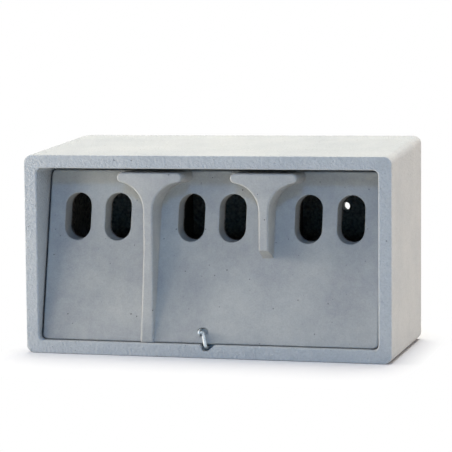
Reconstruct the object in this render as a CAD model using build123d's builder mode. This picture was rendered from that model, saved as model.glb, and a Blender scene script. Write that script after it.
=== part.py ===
# Sparrow terrace: a cast woodcrete nest box with three brood chambers side by side.
#
# The origin is on the ground at the bottom centre of the casing, +X to the right
# seen from the front, +Y towards the wall that the box hangs on, +Z up. All sizes
# are in millimetres. The front panel leans back from the sill, so what sits on it
# is placed from its leaning face, panel_face(z).
import os
from math import cos, radians, sin, sqrt, tan

from build123d import *

# Casing: outer size, the rim round the opening and the walls behind the rebate
width = 430.0
depth = 200.0
height_front = 230.0
height_back = 245.0
rim = 15.0
wall = 25.0
back_wall = 20.0
outer_corner_r = 9.0
outer_edge_r = 1.0
opening_corner_r = 6.0
opening_chamfer = 1.2
chamber_corner_r = 8.0

# Front panel: a leaning slab that stands on the sill and rests on the rebate
panel_lean = 12.0
panel_foot_setback = 7.0
panel_thickness = 22.0
panel_side_gap = 2.0
panel_top_gap = 4.5
panel_corner_r = 6.0
panel_chamfer = 1.2
seat_gap = 0.3

# Entrances: upright ovals in pairs, one pair to each brood chamber
entrance_end_margin = 19.8
entrance_pitch = 49.0
entrance_width = 31.8
entrance_height = 54.6
entrance_drop = 58.0
entrance_draft = 2.5
entrance_chamfer = 1.4

# Ribs between the pairs, each with a flared header under the lip
rib_inset = 1.0
rib_front_setback = 6.0
rib_width = 11.0
rib_foot_flare = 4.6
rib_flare_height = 105.0
rib_draft = 2.0
rib_chamfer = 1.2
short_rib_drop = 91.5
short_rib_end_slope = 26.0
header_half_length = 38.5
header_depth = 11.0
header_lip_gap = 5.0
header_cove_r = 33.0
long_rib_header_shift = 2.0

# Partitions: two boards that slide into grooves in the floor, roof and back wall
partition_thickness = 10.0
groove_depth = 6.0
groove_play = 0.3
partition_panel_gap = 0.8

# Hanging holes through the back wall
hanging_hole_spacing = 254.0
hanging_hole_drop = 54.0
hanging_hole_d = 10.0

# Latch: a wire hook that turns in a cast-in staple, with its toe in a sill notch
wire_d = 4.0
axle_z = 28.2
axle_end_x = -9.8
arm_top_x = -3.8
arm_foot_x = 0.2
hook_bend_r = 2.8
toe_z = 11.4
toe_length = 10.0
hook_panel_gap = 0.4
staple_wire_d = 2.0
staple_x = -7.6
staple_play = 0.35
staple_leg_depth = 12.0
staple_bore_play = 0.1
recess_length = 12.0
recess_height = 8.0
recess_depth = 3.0
recess_rise = 1.0
notch_left_x = -5.6
notch_right_x = 11.0
notch_floor_z = 8.2
notch_floor_half = 3.4
notch_floor_r = 3.2
notch_end_gap = 3.0

half_width = width / 2
front_y = -depth / 2
back_y = depth / 2
opening_half = half_width - rim
opening_top_z = height_front - rim
chamber_half = half_width - wall
chamber_top_z = height_front - wall
lean_run = tan(radians(panel_lean))
panel_half = opening_half - panel_side_gap
panel_bottom_z = rim + seat_gap
panel_top_z = opening_top_z - panel_top_gap
panel_run = panel_thickness / cos(radians(panel_lean))
rib_front_y = front_y + rib_front_setback
entrance_z = opening_top_z - entrance_drop
chamber_pitch = panel_half - entrance_end_margin - (entrance_width + entrance_pitch) / 2
partition_x = chamber_pitch / 2
rib_x = partition_x - rib_inset
short_rib_end_z = opening_top_z - short_rib_drop
hanging_hole_z = opening_top_z - hanging_hole_drop
header_top_z = opening_top_z - header_lip_gap
header_mid_z = header_top_z - header_depth / 2
partition_back_y = back_y - back_wall + groove_depth - groove_play


def panel_face(z):
    """Depth of the front panel's leaning face at height z."""
    return front_y + panel_foot_setback + (z - rim) * lean_run


def panel_back(z):
    """Depth of the front panel's back face at height z."""
    return panel_face(z) + panel_run


def facing_plane(y):
    """Upright plane at depth y that faces the viewer, with X to the right and Z up."""
    return Plane(origin=(0, y, 0), x_dir=(1, 0, 0), z_dir=(0, -1, 0))


# The leaning face of the front panel, as a plane that faces outwards
face_plane = Plane(
    origin=(0, panel_face(entrance_z), entrance_z),
    x_dir=(1, 0, 0),
    z_dir=(0, -cos(radians(panel_lean)), sin(radians(panel_lean))),
)
seat_plane = face_plane.offset(-panel_thickness - seat_gap)

axle_y = panel_face(axle_z) - (wire_d / 2 + hook_panel_gap) / cos(radians(panel_lean))
toe_y = axle_y - (axle_z - toe_z) * lean_run
staple_r = (wire_d + staple_wire_d) / 2 + staple_play
staple_back_y = panel_face(axle_z) + staple_leg_depth

# Rebate that takes the panel: the opening's outline as deep as the leaning seat
with BuildPart() as rebate:
    with BuildSketch(facing_plane(front_y)):
        with Locations((0, (rim + opening_top_z) / 2)):
            RectangleRounded(2 * opening_half, opening_top_z - rim, opening_corner_r)
    extrude(amount=-depth)
    split(bisect_by=seat_plane, keep=Keep.TOP)

# Chamber hollow behind the rebate, straight-walled so that the core pulls forward
with BuildPart() as hollow:
    with BuildSketch(facing_plane(front_y)):
        with Locations((0, (wall + chamber_top_z) / 2)):
            RectangleRounded(2 * chamber_half, chamber_top_z - wall, chamber_corner_r)
    extrude(amount=-(depth - back_wall))

# Grooves for the partitions, a little wider than the boards
with BuildPart() as grooves:
    with BuildSketch(facing_plane(front_y + rim)):
        with Locations((0, (wall + chamber_top_z) / 2)):
            with GridLocations(chamber_pitch, 0, 2, 1):
                Rectangle(
                    partition_thickness + 2 * groove_play,
                    chamber_top_z - wall + 2 * groove_depth,
                )
    extrude(amount=-(depth - rim - back_wall + groove_depth))

# Notch in the sill, open to the front, steep on the left and flared on the right
with BuildPart() as notch:
    with BuildSketch(facing_plane(front_y)) as notch_outline:
        with BuildLine():
            Polyline(
                (notch_left_x, rim),
                (notch_left_x, rim + opening_corner_r),
                (notch_right_x, rim + opening_corner_r),
                (notch_right_x, rim),
                (notch_floor_half, notch_floor_z),
                (-notch_floor_half, notch_floor_z),
                close=True,
            )
        make_face()
        fillet(notch_outline.vertices().group_by(Axis.Y)[0], notch_floor_r)
    extrude(amount=-(toe_y + toe_length + notch_end_gap - front_y))

# Casing: one casting, with the roof sloping down to the front
with BuildPart() as casing:
    with BuildSketch(Plane.YZ):
        with BuildLine():
            Polyline(
                (front_y, 0),
                (back_y, 0),
                (back_y, height_back),
                (front_y, height_front),
                close=True,
            )
        make_face()
    extrude(amount=half_width, both=True)
    long_edges = casing.edges().filter_by(
        lambda edge: abs(edge.center().Y) < 1 and abs(edge.center().X) > half_width - 1
    )
    fillet(long_edges, outer_corner_r)
    fillet(casing.faces().sort_by(Axis.Y)[-1].edges(), outer_edge_r)
    fillet(casing.faces().sort_by(Axis.Y)[0].edges(), outer_edge_r)
    add(rebate.part, mode=Mode.SUBTRACT)
    front_face = casing.faces().sort_by(Axis.Y)[0]
    chamfer(front_face.inner_wires()[0].edges(), opening_chamfer)
    add(hollow.part, mode=Mode.SUBTRACT)
    add(grooves.part, mode=Mode.SUBTRACT)
    add(notch.part, mode=Mode.SUBTRACT)
    with Locations(Plane(origin=(0, back_y, hanging_hole_z), x_dir=(1, 0, 0), z_dir=(0, 1, 0))):
        with GridLocations(hanging_hole_spacing, 0, 2, 1):
            Hole(hanging_hole_d / 2, depth=back_wall)


def make_cove(rib_side_x, header_end_x):
    """The flare under one half of a header, as a face to add to a rib's outline.

    Its arc leaves the rib's side upright and runs over into the header's round end.
    """
    side = 1 if header_end_x > rib_side_x else -1
    end_r = header_depth / 2
    end_centre = Vector(header_end_x - side * end_r, header_mid_z)
    centre_x = rib_side_x + side * header_cove_r
    span = header_cove_r + end_r
    centre = Vector(centre_x, header_mid_z - sqrt(span**2 - (end_centre.X - centre_x) ** 2))
    towards_end = (end_centre - centre).normalized()
    towards_rib = Vector(-side, 0)
    half_way = (towards_end + towards_rib).normalized()
    arc_top = centre + towards_end * header_cove_r
    arc_foot = centre + towards_rib * header_cove_r
    with BuildSketch() as cove:
        with BuildLine():
            Polyline(arc_foot, (rib_side_x, header_mid_z), end_centre, arc_top)
            ThreePointArc(arc_top, centre + half_way * header_cove_r, arc_foot)
        make_face()
    return cove.sketch


def make_rib(side, end_z, end_slope, foot_flare, header_shift):
    """A drafted rib with its flared header, cut off at end_z by a sloping plane.

    side is -1 for the left rib and 1 for the right one. The rib's front is upright,
    so it stands proudest at the top, where the panel has leaned furthest back.
    """
    x = side * rib_x
    outer = x + side * rib_width / 2
    inner = x - side * rib_width / 2
    header_x = x + header_shift
    with BuildPart() as rib:
        with BuildSketch(facing_plane(rib_front_y + rib_chamfer)) as outline:
            with BuildLine():
                Polyline(
                    (outer, header_mid_z),
                    (outer, rim + rib_flare_height),
                    (outer + side * foot_flare, panel_bottom_z),
                    (outer + side * foot_flare, 0),
                    (inner, 0),
                    (inner, header_mid_z),
                    close=True,
                )
            make_face()
            with Locations((header_x, header_mid_z)):
                SlotOverall(2 * header_half_length, header_depth)
            add(make_cove(outer, header_x + side * header_half_length))
            add(make_cove(inner, header_x - side * header_half_length))
        extrude(outline.sketch, amount=-depth / 2, taper=-rib_draft)
        extrude(outline.sketch, amount=rib_chamfer, taper=45)
        split(bisect_by=face_plane.offset(-panel_thickness / 2), keep=Keep.TOP)
        end_plane = Plane(
            origin=(0, rib_front_y, end_z),
            x_dir=(1, 0, 0),
            z_dir=(0, sin(radians(end_slope)), cos(radians(end_slope))),
        )
        split(bisect_by=end_plane, keep=Keep.TOP)
    return rib.part


# Front panel: one casting, with the ribs and the entrances drafted for the mould
with BuildPart() as front_panel:
    with BuildSketch(Plane.YZ):
        with BuildLine():
            Polyline(
                (panel_face(panel_bottom_z), panel_bottom_z),
                (panel_back(panel_bottom_z), panel_bottom_z),
                (panel_back(panel_top_z), panel_top_z),
                (panel_face(panel_top_z), panel_top_z),
                close=True,
            )
        make_face()
    extrude(amount=panel_half, both=True)
    fillet(front_panel.edges().filter_by(Axis.Y), panel_corner_r)
    with BuildSketch(face_plane):
        with GridLocations(chamber_pitch, 0, 3, 1):
            with GridLocations(entrance_pitch, 0, 2, 1):
                SlotOverall(entrance_height / cos(radians(panel_lean)), entrance_width, rotation=90)
    extrude(amount=panel_run, dir=(0, 1, 0), taper=entrance_draft, mode=Mode.SUBTRACT)
    front_face = front_panel.faces().sort_by(Axis.Y)[0]
    chamfer(front_face.outer_wire().edges(), panel_chamfer)
    front_face = front_panel.faces().sort_by(Axis.Y)[0]
    for mouth in front_face.inner_wires():
        chamfer(mouth.edges(), entrance_chamfer)
    add(make_rib(-1, panel_bottom_z, 0, rib_foot_flare, long_rib_header_shift))
    add(make_rib(1, short_rib_end_z, short_rib_end_slope, 0, 0))
    recess_x = (axle_end_x + arm_top_x + wire_d) / 2
    with BuildSketch(face_plane):
        with Locations((recess_x, (axle_z + recess_rise - entrance_z) / cos(radians(panel_lean)))):
            SlotOverall(recess_length, recess_height)
    extrude(amount=-recess_depth, mode=Mode.SUBTRACT)
    with BuildSketch(facing_plane(front_y)):
        with Locations((staple_x, axle_z)):
            with GridLocations(0, 2 * staple_r, 1, 2):
                Circle(staple_wire_d / 2 + staple_bore_play)
    extrude(amount=-(staple_back_y + staple_bore_play - front_y), mode=Mode.SUBTRACT)


def make_partition():
    """A flat board, cut to the lean of the front panel along its front edge."""
    bottom_z = wall - groove_depth + groove_play
    top_z = chamber_top_z + groove_depth - groove_play
    front_gap = panel_run + partition_panel_gap
    with BuildPart() as board:
        with BuildSketch(Plane.YZ):
            with BuildLine():
                Polyline(
                    (panel_face(bottom_z) + front_gap, bottom_z),
                    (partition_back_y, bottom_z),
                    (partition_back_y, top_z),
                    (panel_face(top_z) + front_gap, top_z),
                    close=True,
                )
            make_face()
        extrude(amount=partition_thickness / 2, both=True)
    return board.part


with BuildPart() as partition_left:
    with Locations((-partition_x, 0, 0)):
        add(make_partition())

with BuildPart() as partition_right:
    with Locations((partition_x, 0, 0)):
        add(make_partition())

# Hook: one wire, bent from the axle down along the panel and back into the notch
with BuildPart() as panel_hook:
    with BuildLine() as hook_line:
        FilletPolyline(
            (axle_end_x, axle_y, axle_z),
            (arm_top_x, axle_y, axle_z),
            (arm_foot_x, toe_y, toe_z),
            (arm_foot_x, toe_y + toe_length, toe_z),
            radius=hook_bend_r,
        )
    with BuildSketch(Plane(origin=hook_line.line @ 0, z_dir=hook_line.line % 0)):
        Circle(wire_d / 2)
    sweep()

# Staple: a wire bow over the hook's axle, both legs cast into the panel
with BuildPart() as hook_staple:
    with BuildLine(Plane.YZ.offset(staple_x)) as bow_line:
        leg_top = Line((staple_back_y, axle_z + staple_r), (axle_y, axle_z + staple_r))
        bow = CenterArc((axle_y, axle_z), staple_r, 90, 180)
        Line(bow @ 1, (staple_back_y, axle_z - staple_r))
    with BuildSketch(Plane(origin=leg_top @ 0, z_dir=leg_top % 0)):
        Circle(staple_wire_d / 2)
    sweep()

pieces = {
    "casing": casing,
    "front_panel": front_panel,
    "partition_left": partition_left,
    "partition_right": partition_right,
    "panel_hook": panel_hook,
    "hook_staple": hook_staple,
}
os.makedirs("parts", exist_ok=True)
for name, piece in pieces.items():
    piece.part.label = name
    export_step(piece.part, f"parts/{name}.step")
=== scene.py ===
from math import cos, radians, sin

import bpy
from mathutils import Matrix, Vector


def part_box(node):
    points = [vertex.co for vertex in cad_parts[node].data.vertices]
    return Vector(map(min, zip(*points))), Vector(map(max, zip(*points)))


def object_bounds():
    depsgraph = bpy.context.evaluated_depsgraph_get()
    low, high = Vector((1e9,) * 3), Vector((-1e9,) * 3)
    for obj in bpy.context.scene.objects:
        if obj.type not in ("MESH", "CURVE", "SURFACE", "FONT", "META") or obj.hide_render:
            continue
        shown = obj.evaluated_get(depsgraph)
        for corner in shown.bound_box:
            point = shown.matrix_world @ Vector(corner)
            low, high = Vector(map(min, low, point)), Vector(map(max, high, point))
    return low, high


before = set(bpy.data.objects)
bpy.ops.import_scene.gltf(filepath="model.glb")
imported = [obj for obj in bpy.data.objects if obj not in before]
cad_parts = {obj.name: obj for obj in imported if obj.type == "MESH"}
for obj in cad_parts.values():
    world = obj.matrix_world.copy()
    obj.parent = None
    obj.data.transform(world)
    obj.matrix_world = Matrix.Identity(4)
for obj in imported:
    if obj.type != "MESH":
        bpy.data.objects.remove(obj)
cad_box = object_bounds()

# Casing: one casting of woodcrete, wood fibre bound with cement. It leaves its mould
# with a smooth, even rim and is painted light stone grey on every face that shows. The
# hollow behind the panel stays as cast, dark and rough.


def linear(hex_colour):
    """The linear RGBA of an sRGB hex colour."""
    parts = [int(hex_colour[i:i + 2], 16) / 255 for i in (1, 3, 5)]
    return [c / 12.92 if c <= 0.04045 else ((c + 0.055) / 1.055) ** 2.4 for c in parts] + [1.0]


def add_node(tree, kind, links=None, values=None, **settings):
    """Adds a node with its settings, its linked sockets and its plain values."""
    node = tree.nodes.new(kind)
    for name, value in settings.items():
        setattr(node, name, value)
    for name, value in (values or {}).items():
        node.inputs[name].default_value = value
    for name, socket in (links or {}).items():
        tree.links.new(socket, node.inputs[name])
    return node


def new_material(name):
    """A material with an empty node tree."""
    material = bpy.data.materials.new(name)
    material.use_nodes = True
    material.node_tree.nodes.clear()
    return material, material.node_tree


def dress(node_name, material):
    """Gives every material slot of a CAD node the same material."""
    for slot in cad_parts[node_name].material_slots:
        slot.material = material


def per_mm(size):
    """The texture scale at which one feature measures size millimetres."""
    return 1000.0 / size


def painted_woodcrete(name, pale, dark, edge_radius, peel_strength, bare_zone):
    """Woodcrete, cast smooth and coated once with matt masonry paint. The paint clouds
    softly where the casting drew it in, the fibre's grain comes through it, and a few
    air holes stay open, coloured dark as painted shade. Painted shade darkens the joints.
    The mould leaves every edge rounded by edge_radius, and peel_strength is how much the
    paint stands up like orange peel.
    bare_zone makes the mask of the part left unpainted: darker, browner and rougher.
    Names in _mm are sizes across in millimetres, and all other lengths are in metres."""
    material, tree = new_material(name)
    place = add_node(tree, "ShaderNodeTexCoord").outputs["Object"]

    # paint: clouds, and a mottle at half their strength where the fibre lies nearer the face
    cloud_mm = 70
    mottle_mm = 9
    mottle_strength = 0.5
    clouds = add_node(tree, "ShaderNodeTexNoise", {"Vector": place},
                      {"Scale": per_mm(cloud_mm), "Detail": 2.0, "Roughness": 0.5})
    mottle = add_node(tree, "ShaderNodeTexNoise", {"Vector": place},
                      {"Scale": per_mm(mottle_mm), "Detail": 4.0, "Roughness": 0.6})
    cover = add_node(tree, "ShaderNodeMath", {0: mottle.outputs["Fac"], 2: clouds.outputs["Fac"]},
                     {1: mottle_strength}, operation="MULTIPLY_ADD")
    shade = add_node(tree, "ShaderNodeMapRange", {"Value": cover.outputs["Value"]},
                     {"From Min": 0.55, "From Max": 0.95})
    paint = add_node(tree, "ShaderNodeMix", {"Factor": shade.outputs["Result"]},
                     {"A": linear(dark), "B": linear(pale)}, data_type="RGBA")

    # grain of the fibre: real grains are under 1 mm, drawn coarser here so that they show
    grain_mm = 1.8
    grain_height = 0.0004
    grain = add_node(tree, "ShaderNodeTexNoise", {"Vector": place},
                     {"Scale": per_mm(grain_mm), "Detail": 3.0, "Roughness": 0.65})
    speck = add_node(tree, "ShaderNodeMapRange", {"Value": grain.outputs["Fac"]},
                     {"From Min": 0.30, "From Max": 0.70, "To Min": 0.91, "To Max": 1.07})
    grained = add_node(tree, "ShaderNodeVectorMath",
                       {0: paint.outputs["Result"], 1: speck.outputs["Result"]},
                       operation="MULTIPLY")

    # air holes: at most one to a cell. Each cell draws the radius of its hole, as a share of
    # the cell's width, and in closed_share of the cells it is next to nothing.
    hole_cell_mm = 7
    closed_share = 0.45
    smallest_hole = 0.001
    widest_hole = 0.20
    hole_depth = 0.0008
    cells = add_node(tree, "ShaderNodeTexVoronoi", {"Vector": place},
                     {"Scale": per_mm(hole_cell_mm)})
    drawn = add_node(tree, "ShaderNodeSeparateColor", {"Color": cells.outputs["Color"]})
    hole_radius = add_node(tree, "ShaderNodeMapRange", {"Value": drawn.outputs["Red"]},
                           {"From Min": closed_share, "From Max": 1.0,
                            "To Min": smallest_hole, "To Max": widest_hole})
    hole = add_node(tree, "ShaderNodeMapRange",
                    {"Value": cells.outputs["Distance"], "From Max": hole_radius.outputs["Result"]},
                    {"From Min": 0.0, "To Min": 1.0, "To Max": 0.0},
                    interpolation_type="SMOOTHSTEP")
    # painted shade: each air hole is coloured a dark grey inside
    holes_shaded = add_node(tree, "ShaderNodeMix",
                     {"Factor": hole.outputs["Result"], "A": grained.outputs["Vector"]},
                     {"B": linear("#4f5152")}, data_type="RGBA")

    # painted shade: dark brown, only where a joint shuts out most of the light within the reach below
    shade_reach = 0.005
    darkest_shade = 0.8
    occlusion = add_node(tree, "ShaderNodeAmbientOcclusion", values={"Distance": shade_reach},
                     samples=8)
    joint_shade = add_node(tree, "ShaderNodeMapRange", {"Value": occlusion.outputs["AO"]},
                    {"From Min": 0.10, "From Max": 0.42, "To Min": darkest_shade, "To Max": 0.0})
    # painted shade: the colour turns dark brown where the joints are occluded
    shaded_in_joints = add_node(tree, "ShaderNodeMix",
                      {"Factor": joint_shade.outputs["Result"], "A": holes_shaded.outputs["Result"]},
                      {"B": linear("#38332e")}, data_type="RGBA")

    # bare woodcrete: dark cement between paler wood fibres
    fibre_mm = 3
    fibre_height = 0.0012
    fibre_strength = 0.9
    fibre = add_node(tree, "ShaderNodeTexVoronoi", {"Vector": place},
                     {"Scale": per_mm(fibre_mm)}, feature="SMOOTH_F1")
    between = add_node(tree, "ShaderNodeMapRange", {"Value": fibre.outputs["Distance"]},
                       {"From Min": 0.1, "From Max": 0.8})
    as_cast = add_node(tree, "ShaderNodeMix", {"Factor": between.outputs["Result"]},
                       {"A": linear("#8f857b"), "B": linear("#544d46")}, data_type="RGBA")
    bare = bare_zone(tree, place)
    colour = add_node(tree, "ShaderNodeMix",
                      {"Factor": bare, "A": shaded_in_joints.outputs["Result"], "B": as_cast.outputs["Result"]},
                      data_type="RGBA")
    roughness = add_node(tree, "ShaderNodeMapRange", {"Value": bare},
                         {"To Min": 0.82, "To Max": 0.96})

    # relief: rounded edges, the paint's peel, the grain, the air holes, and fibres where bare
    peel_mm = 3
    peel_height = 0.0014
    rounded = add_node(tree, "ShaderNodeBevel", values={"Radius": edge_radius}, samples=6)
    peel = add_node(tree, "ShaderNodeTexNoise", {"Vector": place},
                    {"Scale": per_mm(peel_mm), "Detail": 2.0, "Roughness": 0.6})
    peel_relief = add_node(tree, "ShaderNodeBump",
                           {"Height": peel.outputs["Fac"], "Normal": rounded.outputs["Normal"]},
                           {"Strength": peel_strength, "Distance": peel_height})
    grain_relief = add_node(tree, "ShaderNodeBump",
                            {"Height": grain.outputs["Fac"], "Normal": peel_relief.outputs["Normal"]},
                            {"Strength": 0.35, "Distance": grain_height})
    hole_relief = add_node(tree, "ShaderNodeBump",
                           {"Height": hole.outputs["Result"], "Normal": grain_relief.outputs["Normal"]},
                           {"Strength": 0.8, "Distance": hole_depth}, invert=True)
    fibre_shows = add_node(tree, "ShaderNodeMath", {0: bare}, {1: fibre_strength},
                           operation="MULTIPLY")
    relief = add_node(tree, "ShaderNodeBump",
                      {"Height": fibre.outputs["Distance"], "Normal": hole_relief.outputs["Normal"],
                       "Strength": fibre_shows.outputs["Value"]},
                      {"Distance": fibre_height}, invert=True)
    surface = add_node(tree, "ShaderNodeBsdfPrincipled",
                       {"Base Color": colour.outputs["Result"],
                        "Roughness": roughness.outputs["Result"],
                        "Normal": relief.outputs["Normal"]},
                       {"IOR": 1.5, "Specular IOR Level": 0.35})
    add_node(tree, "ShaderNodeOutputMaterial", {"Surface": surface.outputs["BSDF"]})
    return material


casing_low, casing_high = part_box("casing")
casing_wall = 0.025
back_wall = 0.020
panel_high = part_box("front_panel")[1]
panel_lean = radians(12)
# the panel's leaning back face: its unit normal, and its distance from the origin
lean_normal = Vector((0, cos(panel_lean), -sin(panel_lean)))
panel_back_offset = lean_normal.dot(Vector((0, panel_high.y, panel_high.z)))
# the paint fades out over seat_fade where the panel sits. The hollow's back face lies on
# the unpainted zone's own limit, so the zone reaches face_margin further.
seat_fade = 0.004
face_margin = 0.0005


def behind(tree, place, offset, fade):
    """0 in front of the leaning plane at offset, 1 behind it, blurred over fade metres."""
    depth = add_node(tree, "ShaderNodeVectorMath", {0: place}, {1: lean_normal},
                     operation="DOT_PRODUCT")
    mask = add_node(tree, "ShaderNodeMapRange", {"Value": depth.outputs["Value"]},
                    {"From Min": offset - fade / 2, "From Max": offset + fade / 2})
    return mask.outputs["Result"]


def casing_hollow(tree, place):
    """The casing's unpainted zone: its hollow, from the panel's seat to the back wall. The
    zone is a box whose sides run inside the side walls, the floor and the roof."""
    middle = (casing_low + casing_high) / 2
    half = (casing_high - casing_low) / 2
    reach = Vector((half.x - casing_wall / 2, half.y - back_wall, half.z - casing_wall / 2))
    from_middle = add_node(tree, "ShaderNodeVectorMath", {0: place}, {1: middle},
                           operation="SUBTRACT")
    outwards = add_node(tree, "ShaderNodeVectorMath", {0: from_middle.outputs["Vector"]},
                        operation="ABSOLUTE")
    past = add_node(tree, "ShaderNodeVectorMath", {0: outwards.outputs["Vector"]}, {1: reach},
                    operation="SUBTRACT")
    each = add_node(tree, "ShaderNodeSeparateXYZ", {"Vector": past.outputs["Vector"]})
    across = add_node(tree, "ShaderNodeMath", {0: each.outputs["X"], 1: each.outputs["Z"]},
                      operation="MAXIMUM")
    furthest = add_node(tree, "ShaderNodeMath", {0: across.outputs["Value"], 1: each.outputs["Y"]},
                        operation="MAXIMUM")
    inside = add_node(tree, "ShaderNodeMath", {0: furthest.outputs["Value"]}, {1: face_margin},
                      operation="LESS_THAN")
    both = add_node(tree, "ShaderNodeMath",
                    {0: inside.outputs["Value"],
                     1: behind(tree, place, panel_back_offset, seat_fade)},
                    operation="MULTIPLY")
    return both.outputs["Value"]


dress("casing", painted_woodcrete("woodcrete_painted_light_grey", pale="#aeb3b7", dark="#a4aab0",
                                  edge_radius=0.0008, peel_strength=0.9, bare_zone=casing_hollow))

# Partitions: two boards of wood fibre, sawn to size and slid into grooves in the floor,
# roof and back wall. They are unpainted.


def fibre_board(name):
    """Wood fibre board, pressed and sawn: dull brown, with matted fibres lying flat."""
    material, tree = new_material(name)
    place = add_node(tree, "ShaderNodeTexCoord").outputs["Object"]
    # fibres lie in the board's plane and run from front to back
    fibre_wide_mm = 2
    fibre_long_mm = 12
    fibre_height = 0.0005
    squeezed = add_node(tree, "ShaderNodeMapping", {"Vector": place},
                        {"Scale": (per_mm(fibre_wide_mm), per_mm(fibre_long_mm),
                                   per_mm(fibre_wide_mm))})
    fibres = add_node(tree, "ShaderNodeTexNoise", {"Vector": squeezed.outputs["Vector"]},
                      {"Scale": 1.0, "Detail": 4.0, "Roughness": 0.6, "Distortion": 0.8})
    tone = add_node(tree, "ShaderNodeMapRange", {"Value": fibres.outputs["Fac"]},
                    {"From Min": 0.3, "From Max": 0.7})
    colour = add_node(tree, "ShaderNodeMix", {"Factor": tone.outputs["Result"]},
                      {"A": linear("#3f3428"), "B": linear("#5c4d3d")}, data_type="RGBA")
    relief = add_node(tree, "ShaderNodeBump", {"Height": fibres.outputs["Fac"]},
                      {"Strength": 0.5, "Distance": fibre_height})
    surface = add_node(tree, "ShaderNodeBsdfPrincipled",
                       {"Base Color": colour.outputs["Result"], "Normal": relief.outputs["Normal"]},
                       {"Roughness": 0.9, "IOR": 1.45})
    add_node(tree, "ShaderNodeOutputMaterial", {"Surface": surface.outputs["BSDF"]})
    return material


board = fibre_board("fibre_board_sawn")
dress("partition_left", board)
dress("partition_right", board)

# Front panel: a second woodcrete casting that leans in the casing's rebate, painted a
# darker grey on its face and in the entrances. Its back is bare.
paint_edge = 0.003


def panel_rear(tree, place):
    """The panel's unpainted zone: its back face and the last of the entrance bores."""
    return behind(tree, place, panel_back_offset - paint_edge, paint_edge)


dress("front_panel", painted_woodcrete("woodcrete_painted_mid_grey", pale="#abadac", dark="#979a9d",
                                       edge_radius=0.0024, peel_strength=0.15, bare_zone=panel_rear))

# Hook and staple: galvanised steel wire, bent cold. The staple's legs are cast into the
# panel, and the hook turns in it.


def galvanised_wire(name):
    """Steel wire with a hot-dip zinc coat: dull silver with soft patches and fine runs."""
    material, tree = new_material(name)
    place = add_node(tree, "ShaderNodeTexCoord").outputs["Object"]
    # zinc grains, each a little duller or brighter, and the runs that stand up from them
    zinc_grain_mm = 2
    run_mm = 1
    run_height = 0.0001
    patches = add_node(tree, "ShaderNodeTexVoronoi", {"Vector": place},
                       {"Scale": per_mm(zinc_grain_mm)})
    drawn = add_node(tree, "ShaderNodeSeparateColor", {"Color": patches.outputs["Color"]})
    colour = add_node(tree, "ShaderNodeMix", {"Factor": drawn.outputs["Red"]},
                      {"A": linear("#a6acaf"), "B": linear("#c6ccce")}, data_type="RGBA")
    dullness = add_node(tree, "ShaderNodeMapRange", {"Value": drawn.outputs["Green"]},
                        {"To Min": 0.62, "To Max": 0.78})
    runs = add_node(tree, "ShaderNodeTexNoise", {"Vector": place},
                    {"Scale": per_mm(run_mm), "Detail": 2.0})
    relief = add_node(tree, "ShaderNodeBump", {"Height": runs.outputs["Fac"]},
                      {"Strength": 0.3, "Distance": run_height})
    surface = add_node(tree, "ShaderNodeBsdfPrincipled",
                       {"Base Color": colour.outputs["Result"],
                        "Roughness": dullness.outputs["Result"],
                        "Normal": relief.outputs["Normal"]},
                       {"Metallic": 1.0})
    add_node(tree, "ShaderNodeOutputMaterial", {"Surface": surface.outputs["BSDF"]})
    return material


wire = galvanised_wire("steel_wire_galvanised")
dress("hook_staple", wire)
dress("panel_hook", wire)

# Studio: a table under white matt paper that runs back out of sight, with only the box's
# shadow showing on it. Seven soft lamps, fitted to the light in the photograph, are bluish
# in front and mostly warm from the sides and above.
floor_half = 12.0
# the paper as it sends light on to the box, and as the camera sees it inside the shadow
floor_albedo = "#d9d8d6"
floor_shown_albedo = "#d3d7df"
# how far in front of the box and behind it the shadow takes to fade into plain white, in
# metres, and how many times faster it fades beside the box
shadow_reach = 0.17
side_fade = 5.0
ambient_strength = 0.01


def seen_directly(tree):
    """1 for rays that see the studio, straight, in gloss or through glass, and 0 for rays
    that only light the box."""
    rays = add_node(tree, "ShaderNodeLightPath")
    seen_or_mirrored = add_node(tree, "ShaderNodeMath",
                                {0: rays.outputs["Is Camera Ray"], 1: rays.outputs["Is Glossy Ray"]},
                                operation="MAXIMUM")
    seen = add_node(tree, "ShaderNodeMath",
                    {0: seen_or_mirrored.outputs["Value"], 1: rays.outputs["Is Transmission Ray"]},
                    operation="MAXIMUM")
    return seen.outputs["Value"]


bpy.ops.mesh.primitive_plane_add(size=2 * floor_half, location=(0, 0, 0))
floor = bpy.context.object
floor.name = "floor"
paper, paper_tree = new_material("paper_backdrop_matt")
glow = add_node(paper_tree, "ShaderNodeEmission", values={"Strength": 1.0})
lit = add_node(paper_tree, "ShaderNodeBsdfDiffuse", values={"Color": linear(floor_shown_albedo)})
# how far a point of the floor lies outside the box's footprint, stretched at the sides
spot = add_node(paper_tree, "ShaderNodeTexCoord").outputs["Object"]
spot_away = add_node(paper_tree, "ShaderNodeVectorMath", {0: spot}, operation="ABSOLUTE")
outside = add_node(paper_tree, "ShaderNodeVectorMath", {0: spot_away.outputs["Vector"]},
                   {1: (cad_box[1].x, cad_box[1].y, 0)}, operation="SUBTRACT")
outside_only = add_node(paper_tree, "ShaderNodeVectorMath", {0: outside.outputs["Vector"]},
                        {1: (0, 0, 0)}, operation="MAXIMUM")
stretched = add_node(paper_tree, "ShaderNodeVectorMath", {0: outside_only.outputs["Vector"]},
                     {1: (side_fade, 1, 1)}, operation="MULTIPLY")
away = add_node(paper_tree, "ShaderNodeVectorMath", {0: stretched.outputs["Vector"]},
                operation="LENGTH")
fading = add_node(paper_tree, "ShaderNodeMapRange", {"Value": away.outputs["Value"]},
                  {"From Max": shadow_reach})
shown = add_node(paper_tree, "ShaderNodeMixShader",
                 {"Fac": fading.outputs["Result"], 1: lit.outputs["BSDF"], 2: glow.outputs["Emission"]})
bounced = add_node(paper_tree, "ShaderNodeBsdfDiffuse", values={"Color": linear(floor_albedo)})
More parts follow.
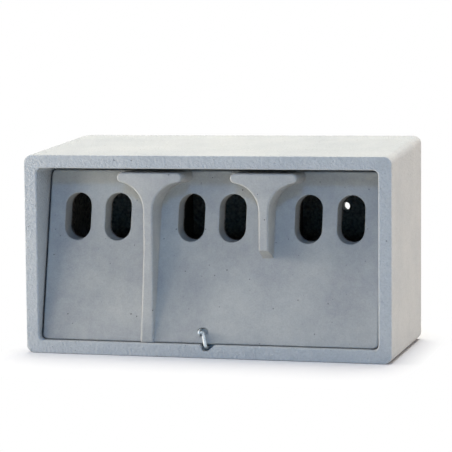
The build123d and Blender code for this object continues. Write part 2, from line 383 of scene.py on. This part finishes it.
paper_mix = add_node(paper_tree, "ShaderNodeMixShader",
                     {"Fac": seen_directly(paper_tree), 1: bounced.outputs["BSDF"],
                      2: shown.outputs["Shader"]})
add_node(paper_tree, "ShaderNodeOutputMaterial", {"Surface": paper_mix.outputs["Shader"]})
floor.data.materials.append(paper)

# the world shows as white, and lights the box only a little
world = bpy.data.worlds.new("studio")
bpy.context.scene.world = world
world.use_nodes = True
sky_tree = world.node_tree
sky_tree.nodes.clear()
ambient = add_node(sky_tree, "ShaderNodeBackground",
                   values={"Color": linear("#ffffff"), "Strength": ambient_strength})
white = add_node(sky_tree, "ShaderNodeBackground",
                 values={"Color": linear("#ffffff"), "Strength": 1.0})
sky = add_node(sky_tree, "ShaderNodeMixShader",
               {"Fac": seen_directly(sky_tree), 1: ambient.outputs["Background"],
                2: white.outputs["Background"]})
add_node(sky_tree, "ShaderNodeOutputWorld", {"Surface": sky.outputs["Shader"]})


def add_lamp(name, azimuth, elevation, distance, size, watts, colour):
    """A soft rectangular lamp that shines at the middle of the box. Its azimuth runs from
    the front towards the right, in degrees, and size is (width, height) in metres."""
    target = (cad_box[0] + cad_box[1]) / 2
    flat = cos(radians(elevation))
    towards = Vector((sin(radians(azimuth)) * flat, -cos(radians(azimuth)) * flat,
                      sin(radians(elevation))))
    data = bpy.data.lights.new(name, "AREA")
    data.shape = "RECTANGLE"
    data.size, data.size_y = size
    data.energy = watts
    data.color = colour
    lamp = bpy.data.objects.new(name, data)
    lamp.location = target + towards * distance
    lamp.rotation_euler = towards.to_track_quat("Z", "Y").to_euler()
    bpy.context.scene.collection.objects.link(lamp)


# name, azimuth, elevation, distance, size, watts, colour as linear red, green and blue
add_lamp("lamp_front_high", 5, 26, 3.0, (0.35, 0.35), 18, (0.27, 0.53, 1.0))
add_lamp("lamp_front_floor", 8, 3, 1.8, (1.6, 0.15), 3.5, (0.25, 0.62, 1.0))
add_lamp("lamp_left_wide", -62, 8, 1.1, (0.8, 0.5), 6.6, (1.0, 0.90, 0.75))
add_lamp("lamp_left_far", -80, 12, 2.5, (0.5, 0.5), 46, (1.0, 0.91, 0.84))
add_lamp("lamp_right", 80, 10, 3.0, (1.2, 1.2), 25, (0.77, 0.88, 1.0))
add_lamp("lamp_right_side", 100, 12, 3.0, (1.2, 1.2), 36, (1.0, 0.70, 0.46))
add_lamp("lamp_top", 180, 78, 2.5, (2.0, 2.0), 109, (1.0, 0.94, 0.82))

# Camera: it stands in front of the box, to the right and a little above the roof, as in the
# photograph. Its place in metres, its angles in degrees and its lens in millimetres were
# fitted to the edges, ribs and entrances seen there.
camera_place = Vector((0.5894, -2.1825, 0.3400))
camera_turn = 15.13
camera_dip = 5.00
camera_roll = -0.485
camera_lens = 153.3
camera_data = bpy.data.cameras.new("camera")
camera_data.lens = camera_lens
camera_data.sensor_width = 36.0
camera = bpy.data.objects.new("camera", camera_data)
camera.matrix_world = (Matrix.Translation(camera_place)
                       @ Matrix.Rotation(radians(camera_turn), 4, "Z")
                       @ Matrix.Rotation(radians(90 - camera_dip), 4, "X")
                       @ Matrix.Rotation(radians(camera_roll), 4, "Z"))
bpy.context.scene.collection.objects.link(camera)
bpy.context.scene.camera = camera
bpy.context.scene.view_settings.view_transform = "Standard"
